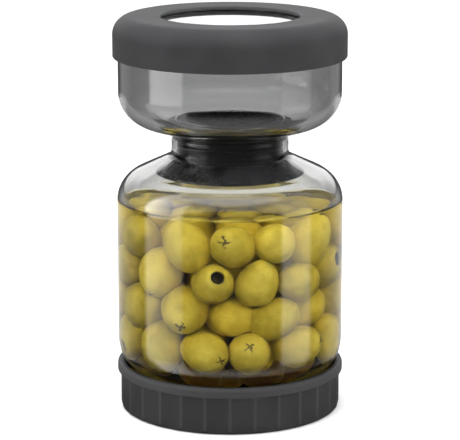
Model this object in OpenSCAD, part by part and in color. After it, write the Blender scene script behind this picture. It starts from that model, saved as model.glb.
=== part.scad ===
// Flip jar with a strainer, standing on its screw lid.
// A one-piece hourglass of glass has a wide chamber for the pickles and a shallower
// chamber for the brine. A strainer plugs the neck between them, a fluted screw lid
// closes the wide chamber, and a soft boot covers the closed end.
// The axis is Z, and the origin is under the middle of the lid. Lengths are millimetres.

/* [Glass body] */
// Outer radius of the pickle chamber
chamber_r = 50; // [47:0.5:56]
// Height of the pickle chamber's wall between its two slopes
chamber_wall_h = 78.4; // [60:0.2:110]
// How far the brine chamber's wall is set in from the pickle chamber's
brine_inset = 0.9; // [0:0.1:5]
// Height of the brine chamber's wall, from the bowl's slope to the closed end
brine_wall_h = 42.4; // [34:0.2:60]
// Outer radius of the neck
neck_r = 25.8; // [22:0.1:30]
// Height of the neck between the two slopes
neck_h = 9.4; // [7.5:0.1:14]
// Glass thickness in the neck
neck_wall = 2.1; // [1.6:0.1:3]
// How far the mouth, at the root of its thread, is set in from the pickle chamber
finish_inset = 5.2; // [4:0.1:8]
// Height of the mouth, from the rim to the chamber's lower slope
finish_h = 13.6; // [11:0.2:18]
// Glass thickness in the mouth
finish_wall = 2.8; // [2:0.1:3.4]
// Glass thickness in the chambers
glass_wall = 2.4; // [1.8:0.1:3.2]
// Glass thickness of the closed end
end_t = 4; // [2.5:0.1:6]
// Thickness of the brine chamber's floor where it meets the neck
bowl_floor_t = 4; // [2.8:0.1:7]
// Slope of the pickle chamber's lower end, in degrees
base_slope = 48; // [44:1:56]
// Slope of the pickle chamber's shoulder, in degrees
shoulder_slope = 25; // [18:0.5:32]
// Slope of the brine chamber's underside, in degrees
bowl_slope = 17.5; // [14:0.1:24]
// Slope of the brine chamber's floor, in degrees
floor_slope = 10; // [6:0.5:14]
// Outer radius of the curve at the pickle chamber's lower end
base_fillet = 19; // [10:0.5:19]
// Outer radius of the curve at the pickle chamber's shoulder
shoulder_fillet = 15; // [8:0.5:20]
// Outer radius of the curve at the brine chamber's underside
bowl_fillet = 15.5; // [8:0.5:18]
// Outer radius of the curves at the two ends of the neck
neck_fillet = 3.4; // [1:0.1:3.8]
// Outer radius of the curve at the closed end
end_fillet = 5.8; // [4:0.1:8]

/* [Boot] */
// Thickness of the boot's skirt
boot_wall = 2.1; // [1.5:0.1:3]
// Thickness of the boot's top
boot_top_t = 2.2; // [1.5:0.1:3]
// Height of the boot
boot_h = 18; // [14:0.5:26]
// Radius of the window in the boot's top
window_r = 30.7; // [20:0.1:36]
// Radius of the boot's rounded edges
boot_edge = 0.7; // [0.2:0.1:0.7]

/* [Strainer] */
// Radial depth of the neck seal, from the tube to the tips of its lips
seal_t = 1.5; // [1:0.1:2.2]
// Number of lips on the neck seal
seal_lips = 3; // [2:1:4]
// Thickness of the funnel's tube
tube_wall = 1.5; // [1:0.1:2]
// Height of the lip at the top of the tube
tube_lip_h = 1.4; // [1:0.1:2]
// How far the funnel's cone flares out past its seat in the neck
cone_flare = 7.9; // [6:0.1:10]
// Height of the cone, from its seat in the neck to its wide end
cone_h = 6.9; // [6:0.1:12]
// Thickness of the cone's wall
cone_wall = 1.6; // [1.2:0.1:1.8]
// Height of the straight rim at the wide end
cone_rim_h = 0.9; // [0.5:0.1:1.5]
// Thickness of the straining disc
screen_t = 1.6; // [1.2:0.1:2]
// Diameter of one straining hole
hole_d = 4; // [2.5:0.1:4.6]
// Solid margin of the disc outside its farthest holes
hole_margin = 3.6; // [2:0.1:6]
// Rings of holes round the middle one
hole_rings = 4; // [2:1:4]

/* [Lid] */
// Thickness of the shell's floor
shell_floor = 2; // [1.5:0.1:3]
// Thickness of the shell's wall at its ridges
shell_wall = 1.5; // [1.3:0.1:2.5]
// Number of flutes round the shell
flutes = 28; // [20:1:36]
// Depth of a flute at its middle
flute_depth = 0.5; // [0.3:0.05:0.7]
// Width of the ridge left between two flutes
ridge_w = 1.3; // [0.6:0.1:3]
// Radius of the shell's rounded bottom edge
shell_edge = 1.8; // [0.5:0.1:1.9]
// Thickness of the liner's floor
liner_floor = 1.4; // [1:0.1:2.5]
// Thickness of the liner's wall
liner_wall = 1.3; // [1:0.1:2]
// Radial room for the thread between the mouth and the liner
thread_room = 1.3; // [1:0.1:2]
// Height of the flange that caps the shell's edge
flange_h = 4.4; // [4:0.1:6]
// Thickness of the flange's hanging lip
flange_lip = 1.3; // [1:0.1:2]
// Thickness of the flange over the shell's edge
flange_t = 2.4; // [2:0.1:3.2]
// How far the lid reaches up past the root of the chamber's lower slope
lid_rise = 2.2; // [1.6:0.1:2.8]
// Thickness of the gasket
gasket_t = 2; // [1.5:0.1:3]
// How far the gasket reaches inside the rim of the mouth
gasket_inset = 1.2; // [0.5:0.1:3]

/* [Clearances] */
// Radial gap between the seal's lips and the neck
neck_gap = 0.3; // [0.1:0.05:0.5]
// Gap between the cone and its seat in the neck
seat_gap = 0.3; // [0.1:0.05:0.5]
// Radial gap between the boot and the glass
boot_gap = 0.2; // [0.1:0.05:0.5]
// Gap between pieces that are pressed together
press_gap = 0.1; // [0.05:0.05:0.2]
// Radial gap between the lid's lead-in and the chamber's lower slope
lead_gap = 0.8; // [0.5:0.1:1.2]

/* [Hidden] */
$fn = 96;

// Radii of the glass that follow the pickle chamber
brine_r = chamber_r - brine_inset;
finish_r = chamber_r - finish_inset;

// Heights up the axis
liner_z = shell_floor;
gasket_z = liner_z + liner_floor;
rim_z = gasket_z + gasket_t;
finish_z = rim_z + finish_h;
base_z = finish_z + (chamber_r - finish_r) * tan(base_slope);
shoulder_z = base_z + chamber_wall_h;
neck_low_z = shoulder_z + (chamber_r - neck_r) * tan(shoulder_slope);
neck_high_z = neck_low_z + neck_h;
bowl_z = neck_high_z + (brine_r - neck_r) * tan(bowl_slope);
end_z = bowl_z + brine_wall_h;
boot_z = end_z + boot_top_t;

// Inside of the glass
chamber_bore_r = chamber_r - glass_wall;
brine_bore_r = brine_r - glass_wall;
neck_bore_r = neck_r - neck_wall;
mouth_bore_r = finish_r - finish_wall;
base_rise = glass_wall / cos(base_slope);
shoulder_drop = glass_wall / cos(shoulder_slope);
mouth_top_z = finish_z - (finish_r - mouth_bore_r) * tan(base_slope) + base_rise;
chamber_low_z = base_z - glass_wall * tan(base_slope) + base_rise;
chamber_high_z = shoulder_z + glass_wall * tan(shoulder_slope) - shoulder_drop;
neck_seat_z = neck_low_z + neck_wall * tan(shoulder_slope) - shoulder_drop;
floor_z = neck_high_z + bowl_floor_t;
floor_edge_z = floor_z + (brine_bore_r - neck_bore_r) * tan(floor_slope);
end_inner_z = end_z - end_t;
rim_round = 1.2;
lip_round = 1.5;

// Boot
boot_bore_r = brine_r + boot_gap;
boot_r = boot_bore_r + boot_wall;
boot_low_z = boot_z - boot_h;

// Strainer
seal_r = neck_bore_r - neck_gap;
tube_r = seal_r - seal_t;
tube_bore_r = tube_r - tube_wall;
tube_lip_back = 0.5;
tube_lip_r = seal_r - tube_lip_back;
strainer_z = floor_z;
seat_w = 0.8;
seat_r = neck_bore_r + seat_w;
seat_z = neck_seat_z - seat_w * tan(shoulder_slope) - seat_gap;
cone_z = seat_z - cone_h;
cone_r = seat_r + cone_flare;
cone_slope = atan((cone_h - cone_rim_h) / cone_flare);
screen_recess = 0.2;
screen_z = cone_z + screen_recess;
ledge_z = screen_z + screen_t;
cone_drop = cone_wall / cos(cone_slope);
ledge_r = seat_r + (seat_z - cone_drop - ledge_z) / tan(cone_slope);
throat_drop = 1;
throat_z = seat_z - throat_drop;
screen_wall = 1.5;
screen_seat_r = cone_r - screen_wall;
screen_r = screen_seat_r - press_gap;
hole_pitch = (screen_r - hole_margin - hole_d / 2) / hole_rings;
seal_z = seat_z;
seal_h = strainer_z - tube_lip_h - press_gap - seal_z;
seal_base_t = seal_t / 2;
seal_lip_r = 0.75 * seal_t;

// Lid
liner_bore_r = finish_r + thread_room;
liner_r = liner_bore_r + liner_wall;
shell_bore_r = liner_r + press_gap;
shell_r = shell_bore_r + shell_wall;
flange_bore_r = shell_r + press_gap;
flange_r = flange_bore_r + flange_lip;
lid_z = finish_z + lid_rise;
lead_r = finish_r + lid_rise / tan(base_slope) + lead_gap;
lead_z = lid_z - (lead_r - liner_bore_r) * tan(base_slope);
flange_low_z = lid_z - flange_h;
flange_under_z = lid_z - flange_t;
shell_top_z = flange_under_z - press_gap;
flange_round = 1.8;
lip_edge = 0.4;
gasket_r = liner_bore_r - press_gap;
gasket_bore_r = mouth_bore_r - gasket_inset;
gasket_edge = 0.3;

// A flute is a cylinder's cut whose chord spans the space between two ridges
flute_chord = 2 * PI * shell_r / flutes - ridge_w;
flute_sag = flute_depth - sagitta(flute_chord, shell_r);
flute_r = pow(flute_chord, 2) / (8 * flute_sag) + flute_sag / 2;

// How far the slice of a rounding overlaps its outline
chord_overlap = 0.05;

glass_tint = [0.80, 0.84, 0.85, 0.35];
boot_grey = [0.29, 0.29, 0.30];
lid_grey = [0.25, 0.25, 0.26];
plug_black = [0.07, 0.07, 0.08];
seal_black = [0.05, 0.05, 0.05];

// Height of an arc over its chord
function sagitta(chord, radius) = radius - sqrt(pow(radius, 2) - pow(chord / 2, 2));

// Corner number i of an outline, counted round past both ends
function corner(outline, i) = outline[(i + len(outline)) % len(outline)];
function point(outline, i) = [corner(outline, i).x, corner(outline, i).y];
function toward(a, b) = (b - a) / norm(b - a);
function half_angle(outline, i) =
    acos(toward(point(outline, i), point(outline, i - 1))
        * toward(point(outline, i), point(outline, i + 1))) / 2;

// Where the rounding of corner i leaves the side towards its neighbour, step being -1 or 1
function tangent(outline, i, step) =
    point(outline, i) + toward(point(outline, i), point(outline, i + step))
        * corner(outline, i).z / tan(half_angle(outline, i));

// Middle of the rounding of corner i
function centre(outline, i) =
    let (
        chord_mid = (tangent(outline, i, -1) + tangent(outline, i, 1)) / 2,
        reach = corner(outline, i).z / sin(half_angle(outline, i))
    )
    point(outline, i) + toward(point(outline, i), chord_mid) * reach;

function is_round(outline, i) = corner(outline, i).z > 0;
function is_convex(outline, i) =
    cross(point(outline, i) - point(outline, i - 1), point(outline, i + 1) - point(outline, i)) > 0;

// The slice between the chord and the arc at corner i, run past the chord to meet the outline
module rounding(outline, i) {
    overlap = toward(point(outline, i), centre(outline, i)) * chord_overlap;
    intersection() {
        translate(centre(outline, i))
            circle(r = corner(outline, i).z);
        polygon([
            tangent(outline, i, -1) + overlap,
            tangent(outline, i, -1),
            point(outline, i),
            tangent(outline, i, 1),
            tangent(outline, i, 1) + overlap
        ]);
    }
}

// An anticlockwise outline of [x, y, rounding radius] corners, with true arcs
module rounded_outline(outline) {
    steps = [for (i = [0:len(outline) - 1]) i];
    difference() {
        union() {
            polygon([
                for (i = steps)
                    each is_round(outline, i)
                        ? [tangent(outline, i, -1), tangent(outline, i, 1)]
                        : [point(outline, i)]
            ]);
            for (i = steps)
                if (is_round(outline, i) && is_convex(outline, i))
                    rounding(outline, i);
        }
        for (i = steps)
            if (is_round(outline, i) && !is_convex(outline, i))
                rounding(outline, i);
    }
}

// A solid turned about Z from a rounded outline
module turned(outline) {
    rotate_extrude()
        rounded_outline(outline);
}

// Hourglass body: outside from the rim up to the closed end, then inside back down
module glass_body() {
    color(glass_tint)
        turned([
            [mouth_bore_r, rim_z, rim_round],
            [finish_r, rim_z, rim_round],
            [finish_r, finish_z, 0],
            [chamber_r, base_z, base_fillet],
            [chamber_r, shoulder_z, shoulder_fillet],
            [neck_r, neck_low_z, neck_fillet],
            [neck_r, neck_high_z, neck_fillet],
            [brine_r, bowl_z, bowl_fillet],
            [brine_r, end_z, end_fillet],
            [0, end_z, 0],
            [0, end_inner_z, 0],
            [brine_bore_r, end_inner_z, end_fillet],
            [brine_bore_r, floor_edge_z, bowl_fillet - glass_wall],
            [neck_bore_r, floor_z, lip_round],
            [neck_bore_r, neck_seat_z, lip_round],
            [chamber_bore_r, chamber_high_z, shoulder_fillet - glass_wall],
            [chamber_bore_r, chamber_low_z, base_fillet - glass_wall],
            [mouth_bore_r, mouth_top_z, lip_round]
        ]);
}

// Soft boot pulled over the closed end, with a round window in its top
module base_boot() {
    color(boot_grey)
        turned([
            [boot_bore_r, boot_low_z, boot_edge],
            [boot_r, boot_low_z, boot_edge],
            [boot_r, boot_z, end_fillet + boot_gap + boot_wall],
            [window_r, boot_z, boot_edge],
            [window_r, end_z, boot_edge],
            [boot_bore_r, end_z, end_fillet + boot_gap]
        ]);
}

// Plug that carries the straining disc: a tube in the neck over a wide cone
module strainer_funnel() {
    color(plug_black)
        turned([
            [tube_bore_r, throat_z, lip_round],
            [ledge_r, ledge_z, 0],
            [screen_seat_r, ledge_z, 0],
            [screen_seat_r, cone_z, 0],
            [cone_r, cone_z, 0],
            [cone_r, cone_z + cone_rim_h, 0],
            [seat_r, seat_z, 0],
            [tube_r, seat_z, 0],
            [tube_r, strainer_z - tube_lip_h, 0],
            [tube_lip_r, strainer_z - tube_lip_h, 0],
            [tube_lip_r, strainer_z, lip_edge],
            [tube_bore_r, strainer_z, lip_edge]
        ]);
}

// One round hole through the straining disc
module straining_hole(x, y) {
    translate([x, y, screen_z - screen_t])
        cylinder(d = hole_d, h = 3 * screen_t);
}

// Straining disc, drilled on a triangular grid that makes a hexagon
module strainer_screen() {
    row_step = hole_pitch * sin(60);
    color(plug_black)
        difference() {
            translate([0, 0, screen_z])
                cylinder(r = screen_r, h = screen_t);
            for (row = [-hole_rings:hole_rings])
                for (i = [0:2 * hole_rings - abs(row)])
                    straining_hole(
                        (i - hole_rings + abs(row) / 2) * hole_pitch,
                        row * row_step
                    );
        }
}

// Soft sleeve round the tube, with round lips that grip the neck
module neck_seal() {
    lip_step = seal_h / seal_lips;
    color(seal_black)
        rotate_extrude() {
            translate([tube_r + press_gap, seal_z])
                square([seal_base_t - press_gap, seal_h]);
            for (i = [0:seal_lips - 1])
                translate([seal_r - seal_lip_r, seal_z + (i + 0.5) * lip_step])
                    intersection() {
                        circle(r = seal_lip_r);
                        translate([seal_lip_r + seal_base_t - seal_t, -seal_lip_r])
                            square([seal_lip_r, 2 * seal_lip_r]);
                    }
        }
}

// Fluted outline of the lid's shell
module fluted_outline() {
    difference() {
        circle(r = shell_r);
        for (i = [0:flutes - 1])
            rotate((i + 0.5) * 360 / flutes)
                translate([shell_r - flute_depth + flute_r, 0])
                    circle(r = flute_r);
    }
}

// Fluted cup that the jar stands on
module lid_shell() {
    color(lid_grey)
        intersection() {
            linear_extrude(height = shell_top_z)
                fluted_outline();
            turned([
                [0, 0, 0],
                [shell_r, 0, shell_edge],
                [shell_r, shell_top_z, 0],
                [shell_bore_r, shell_top_z, 0],
                [shell_bore_r, shell_floor, 0],
                [0, shell_floor, 0]
            ]);
        }
}

// Inner cup that takes the thread, with a flange that hooks over the shell's edge
module lid_liner() {
    color(lid_grey)
        turned([
            [0, liner_z, 0],
            [liner_r, liner_z, lip_edge],
            [liner_r, flange_under_z, 0],
            [flange_bore_r, flange_under_z, 0],
            [flange_bore_r, flange_low_z, lip_edge],
            [flange_r, flange_low_z, lip_edge],
            [flange_r, lid_z, flange_round],
            [lead_r, lid_z, lip_edge],
            [liner_bore_r, lead_z, 0],
            [liner_bore_r, gasket_z, 0],
            [0, gasket_z, 0]
        ]);
}

// Flat ring that the rim of the mouth is pressed on
module rim_gasket() {
    color(seal_black)
        turned([
            [gasket_bore_r, gasket_z, 0],
            [gasket_r, gasket_z, 0],
            [gasket_r, rim_z, gasket_edge],
            [gasket_bore_r, rim_z, gasket_edge]
        ]);
}

glass_body();
base_boot();
strainer_funnel();
strainer_screen();
neck_seal();
lid_shell();
lid_liner();
rim_gasket();
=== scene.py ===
"""Looks of a flip jar with a strainer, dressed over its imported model.

Sizes in the dataclasses are millimetres unless the class says otherwise. Meshes are made in metres, in the
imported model's own frame: Z is the jar's axis, and the origin is under the middle of the lid.
"""

import logging
import math
from collections.abc import Sequence
from dataclasses import dataclass
from enum import Enum

import bpy
import numpy as np
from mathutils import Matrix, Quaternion, Vector


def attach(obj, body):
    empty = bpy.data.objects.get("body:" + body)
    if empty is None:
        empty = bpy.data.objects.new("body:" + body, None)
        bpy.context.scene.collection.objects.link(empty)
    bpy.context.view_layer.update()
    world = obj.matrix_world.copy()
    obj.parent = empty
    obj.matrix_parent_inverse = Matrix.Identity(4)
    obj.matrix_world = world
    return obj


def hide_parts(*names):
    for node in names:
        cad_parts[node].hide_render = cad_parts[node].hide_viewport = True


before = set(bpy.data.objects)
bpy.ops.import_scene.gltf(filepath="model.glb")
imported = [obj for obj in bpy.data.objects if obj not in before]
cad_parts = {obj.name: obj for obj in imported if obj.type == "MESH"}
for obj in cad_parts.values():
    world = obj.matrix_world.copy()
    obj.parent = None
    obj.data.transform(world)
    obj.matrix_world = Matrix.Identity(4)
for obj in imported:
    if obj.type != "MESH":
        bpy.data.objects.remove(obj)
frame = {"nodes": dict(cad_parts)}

MM = 0.001
TINY = 1e-6
FACETS = 160
FINE_FACETS = 192
LOG = logging.getLogger("flip_jar")

Point = tuple[float, float]
Place = tuple[float, float, float]
Colour = tuple[float, float, float]
Ramp = tuple[Point, Point]
Socket = bpy.types.NodeSocket
Feed = float | int | str | tuple | bpy.types.ID | Socket
Feeds = dict[str | int, Feed]

RISING: Point = (0.0, 1.0)
FALLING: Point = (1.0, 0.0)
WHITE: Colour = (1.0, 1.0, 1.0)


def in_metres(sizes: Point) -> Point:
    """Turns two sizes from millimetres into metres."""
    return tuple(size * MM for size in sizes)


class NodeBench:
    """Short calls for wiring one node tree, of a material, a world or a shape."""

    def __init__(self, tree: bpy.types.NodeTree) -> None:
        """Keeps the tree to work on."""
        self.tree = tree

    def add(self, kind: str, feeds: Feeds | None = None, **settings: object) -> bpy.types.Node:
        """Adds a node.

        Args:
            kind: Blender's name for the type of node.
            feeds: Inputs of the node, by name or number, and what they take.
            settings: Properties of the node and their values.

        Returns:
            The new node.
        """
        node = self.tree.nodes.new(kind)
        for name, value in settings.items():
            setattr(node, name, value)
        for name, value in (feeds or {}).items():
            self.feed(node.inputs[name], value)
        return node

    def feed(self, socket: Socket, value: Feed) -> None:
        """Links a socket to another one, or sets its value.

        Args:
            socket: The input to feed.
            value: An output socket, or a plain value.
        """
        if isinstance(value, bpy.types.NodeSocket):
            self.tree.links.new(value, socket)
        else:
            socket.default_value = value

    def math(self, operation: str, *values: Feed) -> Socket:
        """Does one sum, by Blender's name for it, on values in order."""
        return self.add("ShaderNodeMath", dict(enumerate(values)), operation=operation).outputs[0]

    def product(self, first: Feed, *others: Feed) -> Feed:
        """Multiplies values.

        Args:
            first: The first value.
            others: The values it is multiplied by, in order.

        Returns:
            The result.
        """
        for other in others:
            first = self.math("MULTIPLY", first, other)
        return first

    def most(self, first: Feed, *others: Feed) -> Feed:
        """Takes the highest of several values.

        Args:
            first: The first value.
            others: The other values.

        Returns:
            The result.
        """
        for other in others:
            first = self.math("MAXIMUM", first, other)
        return first

    def inverse(self, value: Feed) -> Socket:
        """Takes a value from 1."""
        return self.math("SUBTRACT", 1.0, value)

    def reach(self, x: Socket, y: Socket) -> Socket:
        """Finds how far a point is from the middle of its plane."""
        return self.math("SQRT", self.math("ADD", self.product(x, x), self.product(y, y)))

    def axes(self, vector: Socket) -> Sequence[Socket]:
        """Splits a vector into its X, Y and Z."""
        return tuple(self.add("ShaderNodeSeparateXYZ", {0: vector}).outputs)

    def span(self, value: Feed, source: Point, target: Point) -> Socket:
        """Maps a value from one range to another, held at both ends.

        Args:
            value: The value to map.
            source: The two values between which it is mapped.
            target: What these become.

        Returns:
            The socket with the result.
        """
        names = ("Value", "From Min", "From Max", "To Min", "To Max")
        feeds = dict(zip(names, (value, *source, *target)))
        return self.add("ShaderNodeMapRange", feeds, clamp=True).outputs[0]

    def between(self, value: Feed, limits: Point, soft: float = 0.06) -> Socket:
        """Marks where a value lies between two limits, with soft edges.

        Args:
            value: The value.
            limits: Lower and upper limit.
            soft: Width of the edges.

        Returns:
            The socket with 1 inside and 0 outside.
        """
        low, high = limits
        rising = self.span(value, (low, low + soft), RISING)
        return self.product(rising, self.span(value, (high - soft, high), FALLING))

    def blend(self, factor: Feed, low: Feed, high: Feed) -> Socket:
        """Mixes two colours.

        Args:
            factor: Share of the second colour.
            low: First colour.
            high: Second colour.

        Returns:
            The socket with the mixed colour.
        """
        low, high = ((*colour, 1.0) if isinstance(colour, tuple) else colour for colour in (low, high))
        node = self.add("ShaderNodeMix", {0: factor}, data_type="RGBA", clamp_factor=True)
        self.feed(node.inputs[6], low)
        self.feed(node.inputs[7], high)
        return node.outputs[2]

    def choose(self, switch: Socket, yes: Feed, no: Feed) -> Socket:
        """Takes the first value where a switch is 1, and the second where it is 0."""
        return self.add("ShaderNodeMix", {0: switch, 2: no, 3: yes}, data_type="FLOAT").outputs[0]


class SurfaceBench(NodeBench):
    """Wires a material around one Principled shader."""

    def __init__(self, name: str) -> None:
        """Starts a material.

        Args:
            name: Name of the material.
        """
        self.material = bpy.data.materials.new(name)
        self.material.use_nodes = True
        super().__init__(self.material.node_tree)
        self.skin = self.tree.nodes["Principled BSDF"]
        self.place = self.add("ShaderNodeTexCoord").outputs["Object"]

    def set(self, **sockets: Feed) -> None:
        """Feeds the shader's sockets, whose names have _ in place of each space."""
        for name, value in sockets.items():
            self.feed(self.skin.inputs[name.replace("_", " ")], value)

    def noise(self, scale: float, detail: float) -> Socket:
        """Makes soft random patches around one half, so many in a metre, with so many finer layers."""
        feeds = {"Vector": self.place, "Scale": scale, "Detail": detail}
        return self.add("ShaderNodeTexNoise", feeds).outputs[0]

    def bump(self, height: Socket, depth: float, strength: float, under: Socket | None = None) -> Socket:
        """Turns a height into a bump.

        Args:
            height: Height from 0 to 1.
            depth: Full depth of the bump in millimetres.
            strength: Share of the bump that shows.
            under: A bump that this one lies on.

        Returns:
            The socket with the normal.
        """
        node = self.add("ShaderNodeBump", {"Height": height, "Distance": depth * MM, "Strength": strength})
        if under is not None:
            self.feed(node.inputs["Normal"], under)
        return node.outputs[0]

    def fill(self, colour: Colour, density: float) -> None:
        """Tints what is seen through the material by a colour, so much in each metre."""
        depth = self.add("ShaderNodeVolumeAbsorption", {"Color": (*colour, 1.0), "Density": density})
        self.feed(self.tree.nodes["Material Output"].inputs["Volume"], depth.outputs[0])

    def attribute(self, name: str) -> bpy.types.Node:
        """Reads a value stored on the mesh by its name."""
        return self.add("ShaderNodeAttribute", attribute_type="GEOMETRY", attribute_name=name)


@dataclass(frozen=True)
class MouldedFinish:
    """A moulded plastic or silicone, with a fine grain, faint cloudy wear, and a lighter colour past a
    radius: painted light, which on the lid's ridges also stands for rub wear.

    A noise is given by its patches in a metre and its finer layers, and a bump by its depth and strength.
    """

    name: str
    colour: Colour
    worn_colour: Colour
    roughness: Point
    grain: float
    grain_depth: float
    gloss: float
    rubbed_colour: Colour = (0.0, 0.0, 0.0)
    rubbed_r: Point | None = None
    grain_detail: float = 3.0
    grain_strength: float = 0.6
    cloud: Point = (60.0, 4.0)
    cloud_bump: Point = (0.12, 0.25)
    wear_grain: float = 0.35
    wear_zone: Point = (0.5, 0.85)
    rough_grain: float = 0.4
    rough_zone: Point = (0.45, 0.95)

    def material(self) -> bpy.types.Material:
        """Builds the material.

        Returns:
            The new material.
        """
        bench = SurfaceBench(self.name)
        cloud = bench.noise(*self.cloud)
        fine = bench.noise(self.grain, self.grain_detail)
        wear, rough = (
            bench.math("ADD", cloud, bench.product(fine, share))
            for share in (self.wear_grain, self.rough_grain))
        colour = bench.blend(bench.span(wear, self.wear_zone, RISING), self.colour, self.worn_colour)
        # Painted light: the colour turns lighter past a radius, to light a shaded wall or an edge, and on the
        # lid's ridges it also stands for rub wear.
        if self.rubbed_r:
            x, y, _ = bench.axes(bench.place)
            rubbed = bench.span(bench.reach(x, y), in_metres(self.rubbed_r), RISING)
            colour = bench.blend(rubbed, colour, self.rubbed_colour)
        under = bench.bump(cloud, *self.cloud_bump)
        bench.set(
            Base_Color=colour,
            Roughness=bench.span(rough, self.rough_zone, self.roughness),
            Normal=bench.bump(fine, self.grain_depth, self.grain_strength, under),
            Specular_IOR_Level=self.gloss,
        )
        return bench.material


@dataclass(frozen=True)
class GlassFinish:
    """Moulded glass, clear below and in its closed end, smoky round the bowl and duller at the neck."""

    name: str
    clear: Colour
    smoky: Colour
    smoke_rise: Point
    smoke_fall: Point
    dull: Colour
    dull_rise: Point
    dull_fall: Point
    depth_colour: Colour
    depth_density: float
    ior: float = 1.5
    wave: Point = (28.0, 1.0)
    wave_bump: Point = (0.5, 0.04)
    smear: Point = (140.0, 3.0)
    smear_roughness: Ramp = ((0.45, 0.8), (0.0, 0.03))

    def material(self) -> bpy.types.Material:
        """Builds the material.

        Returns:
            The new material.
        """
        bench = SurfaceBench(self.name)
        _, _, z = bench.axes(bench.place)
        smoke, neck = (
            bench.product(bench.span(z, in_metres(rise), RISING), bench.span(z, in_metres(fall), FALLING))
            for rise, fall in ((self.smoke_rise, self.smoke_fall), (self.dull_rise, self.dull_fall)))
        bench.set(
            Base_Color=bench.blend(smoke, self.clear, self.smoky),
            Transmission_Weight=1.0,
            IOR=self.ior,
            Roughness=bench.span(bench.noise(*self.smear), *self.smear_roughness),
            Specular_Tint=bench.blend(neck, WHITE, self.dull),
            Normal=bench.bump(bench.noise(*self.wave), *self.wave_bump),
        )
        bench.fill(self.depth_colour, self.depth_density)
        return bench.material


@dataclass(frozen=True)
class BrineFinish:
    """Pale brine."""

    name: str
    pale: Colour
    deep: Colour
    depth_colour: Colour
    depth_density: float
    ior: float = 1.333
    cloud: Point = (45.0, 2.0)
    cloud_zone: Point = (0.35, 0.65)
    cloud_bump: Point = (0.3, 0.02)
    cloud_roughness: Ramp = ((0.4, 0.7), (0.0, 0.015))

    def material(self) -> bpy.types.Material:
        """Builds the material.

        Returns:
            The new material.
        """
        bench = SurfaceBench(self.name)
        cloud = bench.noise(*self.cloud)
        bench.set(
            Base_Color=bench.blend(bench.span(cloud, self.cloud_zone, RISING), self.pale, self.deep),
            Transmission_Weight=1.0,
            IOR=self.ior,
            Roughness=bench.span(cloud, *self.cloud_roughness),
            Normal=bench.bump(cloud, *self.cloud_bump),
        )
        bench.fill(self.depth_colour, self.depth_density)
        return bench.material


class OliveKind(Enum):
    """How an olive's end looks."""

    PLAIN = 0
    SCARRED = 1
    PITTED = 2


@dataclass(frozen=True)
class OliveFinish:
    """Cured green olive skin, mottled, with a dark star at the stem, or a pit hole painted darker with depth
    as shade.
    """

    name: str
    green: Colour
    ripe: Colour
    bruise: Colour
    # Colour deep in the pit hole: painted shade, which fades to the ripe flesh at the hole's mouth.
    pit: Colour
    scar: Colour
    gloss: float = 0.08
    roughness: Ramp = ((0.35, 0.7), (0.25, 0.42))
    blotch: Point = (160.0, 3.0)
    blotch_hue: Ramp = ((0.35, 0.65), (-0.3, 0.3))
    blotch_bump: Point = (0.5, 0.3)
    fine: Point = (900.0, 2.0)
    fine_bruise: Ramp = ((0.58, 0.74), (0.0, 0.35))
    fine_bump: Point = (0.12, 0.5)
    star_wobble: Point = (420.0, 1.0)
    star_bend: Ramp = ((0.3, 0.7), (-0.8, 0.8))
    star_line: Point = (0.325, 0.65)
    star_reach: Point = (2.1, 3.0)
    pit_fade: Point = (8.4, 10.3)

    def star(self, bench: SurfaceBench, x: Socket, y: Socket) -> Socket:
        """Draws the wavy cross of a scarred stem end.

        Args:
            bench: The olive's material.
            x: Place across the olive.
            y: Place across the olive, square to x.

        Returns:
            The socket with 1 on the cross and 0 off it.
        """
        bend = bench.span(bench.noise(*self.star_wobble), *self.star_bend)
        across = bench.math("ABSOLUTE", bench.math("ADD", x, bend))
        along = bench.math("ABSOLUTE", bench.math("SUBTRACT", y, bend))
        line = bench.span(bench.math("MINIMUM", across, along), self.star_line, FALLING)
        near = bench.span(bench.reach(across, along), self.star_reach, FALLING)
        return bench.product(line, near, bench.attribute("olive_mark").outputs["Fac"])

    def material(self) -> bpy.types.Material:
        """Builds the material.

        Returns:
            The new material.
        """
        bench = SurfaceBench(self.name)
        x, y, z = bench.axes(bench.attribute("olive_place").outputs["Vector"])
        blotch = bench.noise(*self.blotch)
        fine = bench.noise(*self.fine)
        hue = bench.attribute("olive_hue").outputs["Fac"]
        hue = bench.math("ADD", hue, bench.span(blotch, *self.blotch_hue))
        skin = bench.blend(hue, self.green, self.ripe)
        skin = bench.blend(bench.span(fine, *self.fine_bruise), skin, self.bruise)
        skin = bench.blend(self.star(bench, x, y), skin, self.scar)
        # Painted shade in the pit hole: dark deep down, ripe flesh towards the mouth.
        flesh = bench.blend(bench.span(z, self.pit_fade, RISING), self.pit, self.ripe)
        bench.set(
            Base_Color=bench.blend(bench.attribute("olive_inside").outputs["Fac"], skin, flesh),
            Roughness=bench.span(fine, *self.roughness),
            Normal=bench.bump(fine, *self.fine_bump, bench.bump(blotch, *self.blotch_bump)),
            Specular_IOR_Level=self.gloss,
        )
        return bench.material


@dataclass(frozen=True)
class FloorFinish:
    """White paper sweep that keeps a soft shadow, and glows more the further it reaches, in metres."""

    name: str
    colour: Colour
    lift: Point
    lift_reach: Point
    roughness: float = 0.9
    gloss: float = 0.1
    fibre: Point = (900.0, 2.0)
    fibre_shade: float = 0.985

    def material(self) -> bpy.types.Material:
        """Builds the material.

        Returns:
            The new material.
        """
        bench = SurfaceBench(self.name)
        path = bench.add("ShaderNodeLightPath").outputs
        seen = bench.most(*(path[f"Is {kind} Ray"] for kind in ("Camera", "Glossy", "Transmission")))
        reach = bench.add("ShaderNodeVectorMath", {0: bench.place}, operation="LENGTH").outputs["Value"]
        shaded = tuple(self.fibre_shade * c for c in self.colour)
        bench.set(
            Base_Color=bench.blend(bench.noise(*self.fibre), self.colour, shaded),
            Roughness=self.roughness,
            Specular_IOR_Level=self.gloss,
            Emission_Color=(*WHITE, 1.0),
            Emission_Strength=bench.product(seen, bench.span(reach, self.lift_reach, self.lift)),
        )
        return bench.material


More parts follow.
